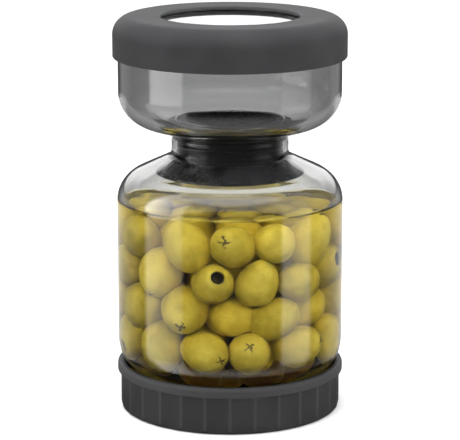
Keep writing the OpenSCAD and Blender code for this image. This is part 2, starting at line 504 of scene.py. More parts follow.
GLASS = GlassFinish(
    "moulded_glass",
    clear=(0.985, 0.987, 0.985), smoky=(0.58, 0.58, 0.58),
    smoke_rise=(121.0, 139.0), smoke_fall=(165.8, 168.8),
    dull=(0.15, 0.15, 0.15), dull_rise=(113.5, 115.0), dull_fall=(125.0, 126.5),
    depth_colour=(0.50, 0.52, 0.51), depth_density=80.0)
# The boot's lighter colour inside 30.8 mm is painted light on the window's inner wall, which renders in
# shade.
BOOT_SILICONE = MouldedFinish(
    "boot_silicone",
    colour=(0.040, 0.040, 0.042), worn_colour=(0.050, 0.050, 0.052), roughness=(0.56, 0.70),
    grain=2600.0, grain_depth=0.05, gloss=0.12,
    rubbed_colour=(0.100, 0.100, 0.102), rubbed_r=(31.3, 30.8))
# The lid's lighter colour past 48.99 mm is painted highlight on the flute ridges and the flange, and on the
# ridges it also stands for rub wear.
LID_PLASTIC = MouldedFinish(
    "lid_plastic",
    colour=(0.032, 0.032, 0.034), worn_colour=(0.042, 0.042, 0.044), roughness=(0.50, 0.62),
    grain=2200.0, grain_depth=0.06, gloss=0.20,
    rubbed_colour=(0.053, 0.053, 0.055), rubbed_r=(48.985, 48.998))
STRAINER_PLASTIC = MouldedFinish(
    "strainer_plastic",
    colour=(0.009, 0.009, 0.010), worn_colour=(0.014, 0.014, 0.015), roughness=(0.22, 0.32),
    grain=900.0, grain_depth=0.02, gloss=0.4)
SEAL_SILICONE = MouldedFinish(
    "seal_silicone",
    colour=(0.007, 0.007, 0.007), worn_colour=(0.011, 0.011, 0.011), roughness=(0.34, 0.48),
    grain=1800.0, grain_depth=0.03, gloss=0.3)
BRINE = BrineFinish(
    "brine",
    pale=(0.990, 0.985, 0.940), deep=(0.980, 0.970, 0.900),
    depth_colour=(0.86, 0.80, 0.45), depth_density=60.0)
# The olive's pit colour is painted shade deep in the pit hole.
OLIVE = OliveFinish(
    "olive_skin",
    green=(0.345, 0.270, 0.026), ripe=(0.57, 0.455, 0.072), bruise=(0.23, 0.155, 0.026),
    pit=(0.050, 0.038, 0.024), scar=(0.085, 0.060, 0.020))
FLOOR = FloorFinish("white_sweep", colour=(0.86, 0.86, 0.86), lift=(0.22, 0.48), lift_reach=(0.12, 1.10))


@dataclass(frozen=True)
class Corner:
    """A corner of a turned outline: its radius, its height and how far it is rounded."""

    r: float
    z: float
    rounding: float = 0.0


def arc(before: Corner, corner: Corner, after: Corner, step: float = 5.0) -> list[Point]:
    """Rounds one corner.

    Args:
        before: The corner before it.
        corner: The corner to round.
        after: The corner after it.
        step: Largest turn between two points, in degrees.

    Returns:
        Points along the rounding, or the corner itself where it is sharp.
    """
    if corner.rounding <= 0:
        return [(corner.r, corner.z)]
    here = np.array((corner.r, corner.z))
    back = np.array((before.r, before.z)) - here
    ahead = np.array((after.r, after.z)) - here
    back /= np.linalg.norm(back)
    ahead /= np.linalg.norm(ahead)
    half = math.acos(float(np.clip(back @ ahead, -1, 1))) / 2
    middle = back + ahead
    centre = here + middle / np.linalg.norm(middle) * corner.rounding / math.sin(half)
    ends = [here + side * corner.rounding / math.tan(half) - centre for side in (back, ahead)]
    first, last = (math.atan2(end[1], end[0]) for end in ends)
    sweep = (last - first + math.pi) % (2 * math.pi) - math.pi
    count = max(3, math.ceil(abs(math.degrees(sweep)) / step))
    turns = [first + sweep * i / count for i in range(count + 1)]
    rays = [(math.cos(t), math.sin(t)) for t in turns]
    return [(centre[0] + corner.rounding * x, centre[1] + corner.rounding * y) for x, y in rays]


def outline(corners: Sequence[Corner], longest: float = 4.0, crisp: float = 0.3) -> list[Point]:
    """Draws a closed outline with rounded corners, cutting its long sides into short ones.

    Args:
        corners: Corners, anticlockwise.
        longest: Longest side between two points.
        crisp: Length of the first and last piece of a long side, which keeps soft shading to the roundings.

    Returns:
        Points of the outline.
    """
    bare: list[Point] = []
    for i, corner in enumerate(corners):
        bare += arc(corners[i - 1], corner, corners[(i + 1) % len(corners)])
    points: list[Point] = []
    for i, (r, z) in enumerate(bare):
        points.append((r, z))
        r2, z2 = bare[(i + 1) % len(bare)]
        side = math.hypot(r2 - r, z2 - z)
        if r + r2 > 0 and side > longest:
            pieces = math.ceil(side / longest)
            cuts = [crisp / side, *(k / pieces for k in range(1, pieces)), 1 - crisp / side]
            points += [(r + (r2 - r) * cut, z + (z2 - z) * cut) for cut in cuts]
    return points


def put(name: str, data: bpy.types.ID) -> bpy.types.Object:
    """Puts a mesh, a lamp or a camera in the scene.

    Args:
        name: Name of the new object.
        data: What it shows.

    Returns:
        The new object.
    """
    piece = bpy.data.objects.new(name, data)
    bpy.context.scene.collection.objects.link(piece)
    return piece


def smooth(mesh: bpy.types.Mesh, crease: float) -> None:
    """Gives a mesh soft shading, but for edges past an angle in degrees."""
    mesh.shade_smooth()
    mesh.set_sharp_from_angle(angle=math.radians(crease))


def smooth_piece(name: str, mesh: bpy.types.Mesh, crease: float = 32.0) -> bpy.types.Object:
    """Puts a mesh in the scene with soft shading and crisp creases."""
    smooth(mesh, crease)
    return put(name, mesh)


def turned_mesh(name: str, points: Sequence[Point], turns: Sequence[float]) -> bpy.types.Mesh:
    """Turns an outline about the axis.

    Args:
        name: Name of the mesh.
        points: Closed outline, anticlockwise, in millimetres.
        turns: Angles of the copies, in radians.

    Returns:
        The closed mesh, with its faces outwards.
    """
    vertices: list[Place] = []
    rings: list[list[int]] = []
    for r, z in points:
        start = len(vertices)
        if r < TINY:
            vertices.append((0.0, 0.0, z * MM))
            rings.append([start] * len(turns))
        else:
            vertices += [(r * MM * math.cos(t), r * MM * math.sin(t), z * MM) for t in turns]
            rings.append(list(range(start, start + len(turns))))
    faces: list[tuple[int, ...]] = []
    for i, low in enumerate(rings):
        high = rings[(i + 1) % len(rings)]
        for j in range(len(turns)):
            k = (j + 1) % len(turns)
            face = tuple(dict.fromkeys((low[j], low[k], high[k], high[j])))
            if len(face) > 2:
                faces.append(face)
    mesh = bpy.data.meshes.new(name)
    mesh.from_pydata(vertices, [], faces)
    return mesh


def even_turns(count: int) -> list[float]:
    """Spaces angles evenly round the axis."""
    return [2 * math.pi * i / count for i in range(count)]


def turned(name: str, corners: Sequence[Corner], count: int = FACETS) -> bpy.types.Object:
    """Makes a turned piece from the corners of its outline, with so many facets round the axis."""
    return smooth_piece(name, turned_mesh(name, outline(corners), even_turns(count)))


def dress(piece: bpy.types.Object, material: bpy.types.Material) -> None:
    """Gives a piece one material."""
    piece.data.materials.clear()
    piece.data.materials.append(material)


def hand_over(
    piece: bpy.types.Object, body: str, stands_for: Sequence[str] = ()
) -> None:
    """Puts a finished piece on its body and reports it.

    Args:
        piece: The piece.
        body: The body it moves with.
        stands_for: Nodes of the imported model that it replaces.
    """
    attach(piece, body)
    if stands_for:
        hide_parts(*stands_for)
    LOG.info("%s rides on %s, %d faces", piece.name, body, len(piece.data.polygons))


class NodeShape(NodeBench):
    """A Geometry Nodes tree with named sizes, whose result becomes a plain mesh."""

    def __init__(self, name: str) -> None:
        """Starts a tree.

        Args:
            name: Name of the tree.
        """
        super().__init__(bpy.data.node_groups.new(name, "GeometryNodeTree"))
        for side in ("INPUT", "OUTPUT"):
            self.tree.interface.new_socket("Geometry", in_out=side, socket_type="NodeSocketGeometry")
        self.given = self.add("NodeGroupInput")
        self.made = self.add("NodeGroupOutput")
        self.identifiers: dict[str, str] = {}

    def size(self, name: str, kind: str = "NodeSocketFloat") -> Socket:
        """Adds a named input.

        Args:
            name: Name of the input.
            kind: Blender's name for its type.

        Returns:
            The socket that gives its value in the tree.
        """
        item = self.tree.interface.new_socket(name, in_out="INPUT", socket_type=kind)
        self.identifiers[name] = item.identifier
        return self.given.outputs[name]

    def close(self, geometry: Socket) -> None:
        """Ends the tree.

        Args:
            geometry: What the tree has made.
        """
        material = self.size("Material", "NodeSocketMaterial")
        real = self.add("GeometryNodeRealizeInstances", {0: geometry})
        paint = self.add("GeometryNodeSetMaterial", {"Geometry": real.outputs[0], "Material": material})
        self.feed(self.made.inputs[0], paint.outputs[0])

    def run(self, piece: bpy.types.Object, sizes: dict[str, object]) -> None:
        """Runs the tree on a piece and keeps the result as its mesh.

        Args:
            piece: The piece, in the scene.
            sizes: Values of the named inputs.
        """
        modifier = piece.modifiers.new(self.tree.name, "NODES")
        modifier.node_group = self.tree
        for name, value in sizes.items():
            modifier[self.identifiers[name]] = value
        ready = piece.evaluated_get(bpy.context.evaluated_depsgraph_get())
        mesh = bpy.data.meshes.new_from_object(ready)
        piece.modifiers.remove(modifier)
        piece.data = mesh


class ThreadShape(NodeShape):
    """Short screw beads that climb round a cylinder and fade at both ends."""

    path_points: int = 160
    section_points: int = 14
    fade_zone: Ramp = ((0.0, 0.12), (0.02, 1.0))
    fade_power: float = 0.5

    def __init__(self) -> None:
        """Builds the tree."""
        super().__init__("thread_beads")
        starts = self.size("Starts", "NodeSocketInt")
        radius, lead, sweep, foot, bead, stretch = (
            self.size(name) for name in ("Radius", "Lead", "Sweep", "Foot", "Bead", "Stretch"))
        path = self.add("GeometryNodeCurveSpiral", {
            "Resolution": self.path_points,
            "Rotations": sweep,
            "Start Radius": radius,
            "End Radius": radius,
            "Height": self.product(lead, sweep),
        })
        along = self.add("GeometryNodeSplineParameter").outputs["Factor"]
        near_end = self.math("MINIMUM", along, self.inverse(along))
        fade = self.math("POWER", self.span(near_end, *self.fade_zone), self.fade_power)
        tapered = self.add("GeometryNodeSetCurveRadius", {"Curve": path.outputs[0], "Radius": fade})
        section = self.add(
            "GeometryNodeCurvePrimitiveCircle", {"Resolution": self.section_points, "Radius": bead})
        wide = self.add("ShaderNodeCombineXYZ", {"X": stretch, "Y": 1.0, "Z": 1.0})
        flat = self.add("GeometryNodeTransform", {"Geometry": section.outputs[0], "Scale": wide.outputs[0]})
        beads = self.add("GeometryNodeCurveToMesh", {
            "Curve": tapered.outputs[0],
            "Profile Curve": flat.outputs[0],
            "Fill Caps": True,
        })
        seats = self.add("GeometryNodeMeshLine", {"Count": starts, "Offset": (0.0, 0.0, 0.0)})
        lift = self.add("ShaderNodeCombineXYZ", {"Z": foot})
        raised = self.add("GeometryNodeSetPosition", {
            "Geometry": seats.outputs[0],
            "Offset": lift.outputs[0],
        })
        share = self.math("DIVIDE", self.add("GeometryNodeInputIndex").outputs[0], starts)
        turn = self.add("ShaderNodeCombineXYZ", {"Z": self.product(share, 2 * math.pi)})
        copies = self.add("GeometryNodeInstanceOnPoints", {
            "Points": raised.outputs[0],
            "Instance": beads.outputs[0],
            "Rotation": turn.outputs[0],
        })
        self.close(copies.outputs[0])


class FluteShape(NodeShape):
    """Shallow round flutes cut in the outside of a turned cup."""

    nearest: float = 1e-9

    def __init__(self) -> None:
        """Builds the tree."""
        super().__init__("flutes")
        flutes, centre, cutter = (self.size(name) for name in ("Flutes", "Cutter Distance", "Cutter Radius"))
        x, y, z = self.axes(self.add("GeometryNodeInputPosition").outputs[0])
        pitch = self.math("DIVIDE", 2 * math.pi, flutes)
        turn = self.math("DIVIDE", self.math("ARCTAN2", y, x), pitch)
        own = self.product(self.math("SUBTRACT", self.math("FRACT", turn), 0.5), pitch)
        along, across = (self.product(centre, self.math(name, own)) for name in ("COSINE", "SINE"))
        room = self.math("SUBTRACT", self.product(cutter, cutter), self.product(across, across))
        wall = self.math("SUBTRACT", along, self.math("SQRT", self.most(room, 0.0)))
        reach = self.reach(x, y)
        limit = self.math("ADD", wall, self.math("LESS_THAN", room, 0.0))
        keep = self.math("DIVIDE", self.math("MINIMUM", reach, limit), self.most(reach, self.nearest))
        moved = self.add("ShaderNodeCombineXYZ", {
            "X": self.product(x, keep),
            "Y": self.product(y, keep),
            "Z": z,
        })
        cut = self.add("GeometryNodeSetPosition", {
            "Geometry": self.given.outputs["Geometry"],
            "Position": moved.outputs[0],
        })
        self.close(cut.outputs[0])


class HeapShape(NodeShape):
    """One of several shapes at each point, turned and sized by what the points carry."""

    def __init__(self, kinds: Sequence[bpy.types.Object]) -> None:
        """Builds the tree.

        Args:
            kinds: The shapes to choose from, in order.
        """
        super().__init__("heap")
        choice = self.add("GeometryNodeJoinGeometry")
        for kind in reversed(kinds):
            source = self.add("GeometryNodeObjectInfo", {"Object": kind, "As Instance": True})
            self.feed(choice.inputs[0], source.outputs["Geometry"])
        copies = self.add("GeometryNodeInstanceOnPoints", {
            "Points": self.given.outputs["Geometry"],
            "Instance": choice.outputs[0],
            "Pick Instance": True,
        })
        for name, kind, socket in (
            ("olive_kind", "INT", "Instance Index"),
            ("olive_turn", "FLOAT_VECTOR", "Rotation"),
            ("olive_size", "FLOAT", "Scale"),
        ):
            carried = self.add("GeometryNodeInputNamedAttribute", {"Name": name}, data_type=kind)
            self.feed(copies.inputs[socket], carried.outputs[0])
        self.close(copies.outputs[0])


@dataclass
class GlassJar:
    """The hourglass of glass."""

    rim_z: float = 5.4
    finish_z: float = 19.0
    base_z: float = 24.775
    shoulder_z: float = 103.175
    neck_low_z: float = 114.460
    neck_high_z: float = 123.860
    bowl_z: float = 131.206
    end_z: float = 173.606
    finish_r: float = 44.8
    chamber_r: float = 50.0
    neck_r: float = 25.8
    brine_r: float = 49.1
    mouth_bore_r: float = 42.0
    chamber_bore_r: float = 47.6
    neck_bore_r: float = 23.7
    brine_bore_r: float = 46.7
    mouth_top_z: float = 19.477
    chamber_low_z: float = 25.696
    chamber_high_z: float = 101.646
    neck_seat_z: float = 112.791
    floor_z: float = 127.860
    floor_edge_z: float = 131.916
    end_inner_z: float = 169.606
    rim_round: float = 1.2
    lip_round: float = 1.5
    base_fillet: float = 19.0
    shoulder_fillet: float = 15.0
    bowl_fillet: float = 15.5
    neck_fillet: float = 3.4
    end_fillet: float = 5.8
    wall: float = 2.4

    def build(self) -> None:
        """Turns the glass."""
        self.body = turned("jar_glass", [
            Corner(self.mouth_bore_r, self.rim_z, self.rim_round),
            Corner(self.finish_r, self.rim_z, self.rim_round),
            Corner(self.finish_r, self.finish_z),
            Corner(self.chamber_r, self.base_z, self.base_fillet),
            Corner(self.chamber_r, self.shoulder_z, self.shoulder_fillet),
            Corner(self.neck_r, self.neck_low_z, self.neck_fillet),
            Corner(self.neck_r, self.neck_high_z, self.neck_fillet),
            Corner(self.brine_r, self.bowl_z, self.bowl_fillet),
            Corner(self.brine_r, self.end_z, self.end_fillet),
            Corner(0.0, self.end_z),
            Corner(0.0, self.end_inner_z),
            Corner(self.brine_bore_r, self.end_inner_z, self.end_fillet),
            Corner(self.brine_bore_r, self.floor_edge_z, self.bowl_fillet - self.wall),
            Corner(self.neck_bore_r, self.floor_z, self.lip_round),
            Corner(self.neck_bore_r, self.neck_seat_z, self.lip_round),
            Corner(self.chamber_bore_r, self.chamber_high_z, self.shoulder_fillet - self.wall),
            Corner(self.chamber_bore_r, self.chamber_low_z, self.base_fillet - self.wall),
            Corner(self.mouth_bore_r, self.mouth_top_z, self.lip_round),
        ], FINE_FACETS)

    def dress(self) -> None:
        """Gives the glass its finish and hands it over."""
        self.finish = GLASS.material()
        dress(self.body, self.finish)
        hand_over(self.body, "jar", ["glass_body"])


@dataclass
class Thread:
    """Screw beads, on the mouth of the glass or in the lid's liner."""

    name: str
    body: str
    slot: str
    radius: float
    foot: float
    bead: float
    starts: int = 4
    lead: float = 14.0
    sweep: float = 0.26
    stretch: float = 1.3

    def build(self, shape: ThreadShape, material: bpy.types.Material) -> None:
        """Winds the beads.

        Args:
            shape: The tree that winds them.
            material: Their finish.
        """
        self.piece = put(self.name, bpy.data.meshes.new(self.name))
        shape.run(self.piece, {
            "Starts": self.starts,
            "Radius": self.radius * MM,
            "Lead": self.lead * MM,
            "Sweep": self.sweep,
            "Foot": self.foot * MM,
            "Bead": self.bead * MM,
            "Stretch": self.stretch,
            "Material": material,
        })
        self.piece.data.shade_smooth()

    def dress(self) -> None:
        """Hands the beads over."""
        hand_over(self.piece, self.body)


@dataclass
class Boot:
    """The soft boot on the closed end, with its round window."""

    bore_r: float = 49.3
    outer_r: float = 51.4
    low_z: float = 157.806
    end_z: float = 173.606
    top_z: float = 175.806
    window_r: float = 30.7
    edge: float = 0.7
    bore_fillet: float = 6.0
    outer_fillet: float = 8.1

    def build(self) -> None:
        """Turns the boot."""
        self.piece = turned("boot", [
            Corner(self.bore_r, self.low_z, self.edge),
            Corner(self.outer_r, self.low_z, self.edge),
            Corner(self.outer_r, self.top_z, self.outer_fillet),
            Corner(self.window_r, self.top_z, self.edge),
            Corner(self.window_r, self.end_z, self.edge),
            Corner(self.bore_r, self.end_z, self.bore_fillet),
        ], FINE_FACETS)

    def dress(self) -> None:
        """Gives the boot its finish and hands it over."""
        dress(self.piece, BOOT_SILICONE.material())
        hand_over(self.piece, "boot", ["base_boot"])


@dataclass
class Strainer:
    """The plug in the neck: funnel, straining disc and lipped seal."""

    top_z: float = 127.860
    lip_h: float = 1.4
    lip_r: float = 22.9
    tube_r: float = 21.9
    bore_r: float = 20.4
    seat_r: float = 24.5
    seat_z: float = 112.118
    seat_edge: float = 0.3
    throat_drop: float = 1.0
    throat_round: float = 1.5
    cone_r: float = 32.4
    cone_z: float = 105.218
    cone_edge: float = 0.25
    rim_h: float = 0.9
    ledge_r: float = 28.57
    ledge_z: float = 107.018
    screen_seat_r: float = 30.9
    edge: float = 0.4
    press_gap: float = 0.1
    seal_t: float = 1.5
    seal_lips: int = 3
    seal_lip_share: float = 0.75
    seal_lip_facets: int = 8
    seal_crease: float = 60.0

    def build(self) -> None:
        """Turns the funnel and the seal."""
        lip_z = self.top_z - self.lip_h
        self.funnel = turned("funnel", [
            Corner(self.bore_r, self.seat_z - self.throat_drop, self.throat_round),
            Corner(self.ledge_r, self.ledge_z),
            Corner(self.screen_seat_r, self.ledge_z),
            Corner(self.screen_seat_r, self.cone_z),
            Corner(self.cone_r, self.cone_z, self.cone_edge),
            Corner(self.cone_r, self.cone_z + self.rim_h, self.cone_edge),
            Corner(self.seat_r, self.seat_z, self.seat_edge),
            Corner(self.tube_r, self.seat_z),
            Corner(self.tube_r, lip_z),
            Corner(self.lip_r, lip_z),
            Corner(self.lip_r, self.top_z, self.edge),
            Corner(self.bore_r, self.top_z, self.edge),
        ])
        sleeve = turned_mesh("seal", self.seal_outline(), even_turns(FACETS))
        self.seal = smooth_piece("seal", sleeve, self.seal_crease)

    def seal_outline(self) -> list[Point]:
        """Draws the sleeve with its round lips.

        Returns:
            Points of the outline, anticlockwise.
        """
        inner = self.tube_r + self.press_gap
        sleeve = self.tube_r + self.seal_t / 2
        height = self.top_z - self.lip_h - self.press_gap - self.seat_z
        lip = self.seal_lip_share * self.seal_t
        middle = self.tube_r + self.seal_t - lip
        reach = math.acos((sleeve - middle) / lip)
        turns = [reach * (k / self.seal_lip_facets - 1) for k in range(2 * self.seal_lip_facets + 1)]
        points = [(inner, self.seat_z), (sleeve, self.seat_z)]
        for i in range(self.seal_lips):
            z = self.seat_z + (i + 0.5) * height / self.seal_lips
            points += [(middle + lip * math.cos(t), z + lip * math.sin(t)) for t in turns]
        return points + [(sleeve, self.seat_z + height), (inner, self.seat_z + height)]

    def dress(self, nodes: dict[str, bpy.types.Object]) -> None:
        """Gives the pieces their finishes and hands them over.

        Args:
            nodes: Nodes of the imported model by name.
        """
        plastic = STRAINER_PLASTIC.material()
        screen = nodes["strainer_screen"]
        dress(self.funnel, plastic)
        dress(self.seal, SEAL_SILICONE.material())
        dress(screen, plastic)
        hand_over(self.funnel, "strainer", ["strainer_funnel"])
        hand_over(self.seal, "strainer", ["neck_seal"])
        LOG.info("%s keeps its packed mesh, %d faces", screen.name, len(screen.data.polygons))


@dataclass
class ScrewLid:
    """The fluted shell, the liner with its rounded flange, and the gasket."""

    floor: float = 2.0
    shell_bore_r: float = 47.5
    shell_r: float = 49.0
    shell_top_z: float = 18.7
    shell_edge: float = 1.8
    flutes: int = 28
    flute_depth: float = 0.5
    flute_half_facets: int = 6
    flute_crease: float = 14.0
    ridge_w: float = 1.3
    ridge_steps: tuple[float, ...] = (0.1, 1.0, 1.9)
    liner_r: float = 47.4
    liner_bore_r: float = 46.1
    gasket_z: float = 3.4
    flange_under_z: float = 18.8
    flange_low_z: float = 16.8
    flange_bore_r: float = 49.1
    flange_r: float = 50.4
    flange_round: float = 1.8
    lid_z: float = 21.2
    lead_r: float = 47.581
    lead_z: float = 19.555
    edge: float = 0.4
    gasket_r: float = 46.0
    gasket_bore_r: float = 40.8
    gasket_top_z: float = 5.4
    gasket_edge: float = 0.3

    def build(self) -> None:
        """Turns the three pieces; the shell is left round until it is dressed."""
        self.shell = smooth_piece("lid_shell_fluted", turned_mesh("lid_shell_fluted", outline([
            Corner(0.0, 0.0),
            Corner(self.shell_r, 0.0, self.shell_edge),
            Corner(self.shell_r, self.shell_top_z),
            Corner(self.shell_bore_r, self.shell_top_z),
            Corner(self.shell_bore_r, self.floor),
            Corner(0.0, self.floor),
        ]), self.flute_turns()))
        self.liner = turned("lid_liner_flanged", [
            Corner(0.0, self.floor),
            Corner(self.liner_r, self.floor, self.edge),
            Corner(self.liner_r, self.flange_under_z),
            Corner(self.flange_bore_r, self.flange_under_z),
            Corner(self.flange_bore_r, self.flange_low_z, self.edge),
            Corner(self.flange_r, self.flange_low_z, self.edge),
            Corner(self.flange_r, self.lid_z, self.flange_round),
            Corner(self.lead_r, self.lid_z, self.edge),
            Corner(self.liner_bore_r, self.lead_z),
            Corner(self.liner_bore_r, self.gasket_z),
            Corner(0.0, self.gasket_z),
        ], FINE_FACETS)
        self.gasket = turned("gasket", [
            Corner(self.gasket_bore_r, self.gasket_z),
            Corner(self.gasket_r, self.gasket_z),
            Corner(self.gasket_r, self.gasket_top_z, self.gasket_edge),
            Corner(self.gasket_bore_r, self.gasket_top_z, self.gasket_edge),
        ])

    def flute_chord(self) -> float:
        """Finds how wide each flute is, between two ridges."""
        return 2 * math.pi * self.shell_r / self.flutes - self.ridge_w

    def flute_cutter(self) -> Point:
        """Finds the round cutter that leaves the ridges.

        Returns:
            Its distance from the axis and its radius, in millimetres.
        """
        chord = self.flute_chord()
        sag = self.flute_depth - (self.shell_r - math.sqrt(self.shell_r ** 2 - chord ** 2 / 4))
        radius = chord ** 2 / (8 * sag) + sag / 2
        return self.shell_r - self.flute_depth + radius, radius

    def flute_turns(self) -> list[float]:
        """Spaces the shell's facets so that each ridge has its own two edges.

        Returns:
            Angles in radians.
        """
        pitch = 2 * math.pi / self.flutes
        half = math.asin(self.flute_chord() / 2 / self.shell_r)
        ridge = pitch / 2 - half
        steps = [-half * (1 - k / self.flute_half_facets) for k in range(2 * self.flute_half_facets + 1)]
        steps += [half + share * ridge for share in self.ridge_steps]
        return [(i + 0.5) * pitch + step for i in range(self.flutes) for step in steps]

    def dress(self, shape: FluteShape) -> None:
        """Cuts the flutes, gives the pieces their finishes and hands them over.

        Args:
            shape: The tree that cuts the flutes.
        """
        self.plastic = LID_PLASTIC.material()
        distance, radius = self.flute_cutter()
        shape.run(self.shell, {
            "Flutes": float(self.flutes),
            "Cutter Distance": distance * MM,
            "Cutter Radius": radius * MM,
            "Material": self.plastic,
        })
        smooth(self.shell.data, self.flute_crease)
        dress(self.liner, self.plastic)
        dress(self.gasket, SEAL_SILICONE.material())
        hand_over(self.shell, "lid", ["lid_shell"])
        hand_over(self.liner, "lid", ["lid_liner"])
        hand_over(self.gasket, "gasket", ["rim_gasket"])


@dataclass
class Pickles:
    """Olives heaped in the pickle chamber, and the brine round them.

    The pit is drawn by shares of its radius and heights against its mouth.
    """

    half_width: float = 9.3
    half_length: float = 11.8
    fullness: float = 0.96
    plain_egg: float = 0.14
    marked_egg: float = 0.05
    olive_rows: int = 18
    olive_facets: int = 32
    olive_crease: float = 60.0
    pit_r: float = 3.1
    pit_edge: float = 1.25
    pit_lip: float = 0.35
    pit_shape: tuple[Point, ...] = ((1.05, 0.0), (1.0, -0.6), (0.95, -7.0), (0.0, -7.8))
    pit_inside: float = 1.02
    count: int = 70
    seed: int = 11
    size_range: Point = (0.92, 1.08)
    hue_range: Point = (0.25, 0.9)
    kind_shares: tuple[float, ...] = (0.4, 0.35, 0.25)
    heap_low_z: float = 25.0
    heap_top_z: float = 91.6
    start_reach: float = 26.0
    start_room: float = 9.0
    rounds: int = 900
    sinking_rounds: int = 600
    sink: float = 0.12
    push: float = 0.42
    far_off: float = 1e3
    underside: float = 0.35
    settle_gap: float = 0.15
    wall_gap: float = 0.4
    base_curve_h: float = 7.0
    base_curve_in: float = 1.6
    outward: float = 1 / 36
    tumble: float = 0.7
    mouth_rings: tuple[tuple[float, int], ...] = ((34.0, 11), (19.0, 6), (0.0, 1))
    mouth_size: float = 0.78
    mouth_lift: float = 0.2
    brine_low_z: float = 5.7
    brine_z: float = 93.4
    brine_inset: float = 0.2
    brine_edge: float = 0.4
    brine_step: float = 1.5
    lap: float = 0.3
    meniscus: float = 1.6
    meniscus_edge: float = 0.1
    meniscus_bend: Place = (0.6, 0.4, 0.9)
    meniscus_reach: float = 3.4
    meniscus_foot: float = 2.0

    def olive(self, kind: OliveKind) -> bpy.types.Object:
        """Turns one olive about its own middle.

        Args:
            kind: How its end looks.

        Returns:
            The olive, with its marks stored on its mesh.
        """
        egg = self.plain_egg if kind is OliveKind.PLAIN else self.marked_egg
        points = [(0.0, -self.half_length)]
        for k in range(1, self.olive_rows):
            t = math.pi * (k / self.olive_rows - 0.5)
            r = self.half_width * math.cos(t) ** self.fullness * (1 - egg * math.sin(t))
            points.append((r, self.half_length * math.sin(t)))
        points.append((0.0, self.half_length))
        if kind is OliveKind.PITTED:
            points = [p for p in points if p[1] < 0 or p[0] > self.pit_r * self.pit_edge]
            mouth = points[-1][1] + self.pit_lip
            points += [(self.pit_r * share, mouth + height) for share, height in self.pit_shape]
        name = f"olive_{kind.name.lower()}"
        mesh = turned_mesh(name, points, even_turns(self.olive_facets))
        places = np.array([v.co for v in mesh.vertices]) / MM
        upper = places[:, 2] > 0
        deep = np.hypot(places[:, 0], places[:, 1]) < self.pit_r * self.pit_inside
        self.store(mesh, "olive_place", "FLOAT_VECTOR", places)
        self.store(mesh, "olive_inside", "FLOAT", (kind is OliveKind.PITTED) & deep & upper)
        self.store(mesh, "olive_mark", "FLOAT", (kind is OliveKind.SCARRED) & upper)
        return smooth_piece(name, mesh, self.olive_crease)

    @staticmethod
    def store(mesh: bpy.types.Mesh, name: str, kind: str, values: np.ndarray) -> None:
        """Stores one value for each point of a mesh.

        Args:
            mesh: The mesh.
            name: Name of the attribute.
            kind: Blender's name for its type.
            values: The values, one row for each point.
        """
        layer = mesh.attributes.new(name, kind, "POINT")
        field = "vector" if kind == "FLOAT_VECTOR" else "value"
        number = np.int32 if kind == "INT" else np.float32
        layer.data.foreach_set(field, np.asarray(values, number).ravel())

    def wall_at(self, z: np.ndarray, jar: GlassJar) -> np.ndarray:
        """Finds how wide the chamber is inside.

        Args:
            z: Heights.
            jar: The jar that holds the olives.

        Returns:
            Inside radii at these heights.
        """
        heights = [jar.mouth_top_z, jar.chamber_low_z, jar.chamber_low_z + self.base_curve_h]
        radii = [jar.mouth_bore_r, jar.chamber_bore_r - self.base_curve_in, jar.chamber_bore_r]
        return np.interp(z, heights, radii)

    def settle(self, jar: GlassJar, chance: np.random.Generator) -> tuple[np.ndarray, np.ndarray]:
        """Lets round stand-ins sink in the jar and pushes them apart, round by round.

        Args:
            jar: The jar that holds them.
            chance: Source of chance.

        Returns:
            Their middles, and each one's size against the drawn olive.
        """
        sizes = chance.uniform(*self.size_range, self.count)
        radii = sizes * (2 * self.half_width + self.half_length) / 3
        places = np.column_stack([
            chance.uniform(-self.start_reach, self.start_reach, self.count),
            chance.uniform(-self.start_reach, self.start_reach, self.count),
            chance.uniform(self.heap_low_z + self.start_room, self.heap_top_z - self.start_room, self.count),
        ])
        for turn in range(self.rounds):
            gap = places[:, None] - places[None]
            far = np.linalg.norm(gap, axis=2) + np.eye(self.count) * self.far_off
            press = np.clip(radii[:, None] + radii[None] - far, 0, None)
            places = places + self.push * (gap / far[..., None] * press[..., None]).sum(1)
            if turn < self.sinking_rounds:
                places[:, 2] -= self.sink
            reach = np.hypot(places[:, 0], places[:, 1])
            room = self.wall_at(places[:, 2] - self.underside * radii, jar) - radii - self.settle_gap
            places[:, :2] *= np.minimum(1.0, room / np.maximum(reach, TINY))[:, None]
            places[:, 2] = np.clip(places[:, 2], self.heap_low_z + radii, self.heap_top_z - radii)
        LOG.info("olives press into each other by up to %.1f mm", float(press.max()))
        return places, sizes

    def turn(
        self,
        places: np.ndarray,
        sizes: np.ndarray,
        kinds: np.ndarray,
        jar: GlassJar,
        chance: np.random.Generator,
    ) -> tuple[np.ndarray, np.ndarray]:
        """Turns the olives about, marked ends more outwards than not, and draws long ones in from the wall.

        Args:
            places: Their middles.
            sizes: Their sizes against the drawn olive.
            kinds: How their ends look.
            jar: The jar that holds them.
            chance: Source of chance.

        Returns:
            Their middles once they are clear of the wall, and their turns as Euler angles.
        """
        flat = places * (1, 1, 0)
        reach = np.linalg.norm(flat, axis=1)
        marked = kinds != OliveKind.PLAIN.value
        ends = flat * np.where(marked, self.outward, 0.0)[:, None]
        ends = ends + chance.normal(0, self.tumble, (self.count, 3))
        ends /= np.linalg.norm(ends, axis=1)[:, None]
        lean = (ends * flat).sum(1) / np.maximum(reach, TINY)
        half = sizes * np.hypot(self.half_length * lean, self.half_width * np.sqrt(1 - lean ** 2))
        room = self.wall_at(places[:, 2] - self.underside * half, jar) - half - self.wall_gap
        drawn = np.minimum(1.0, room / np.maximum(reach, TINY))
        places = places * np.column_stack([drawn, drawn, np.ones(self.count)])
        spins = chance.uniform(-math.pi, math.pi, self.count)
        aims = zip(map(Vector, ends), spins)
        turns = [Quaternion(end, spin) @ end.to_track_quat("Z", "Y") for end, spin in aims]
        return places, np.array([t.to_euler() for t in turns])

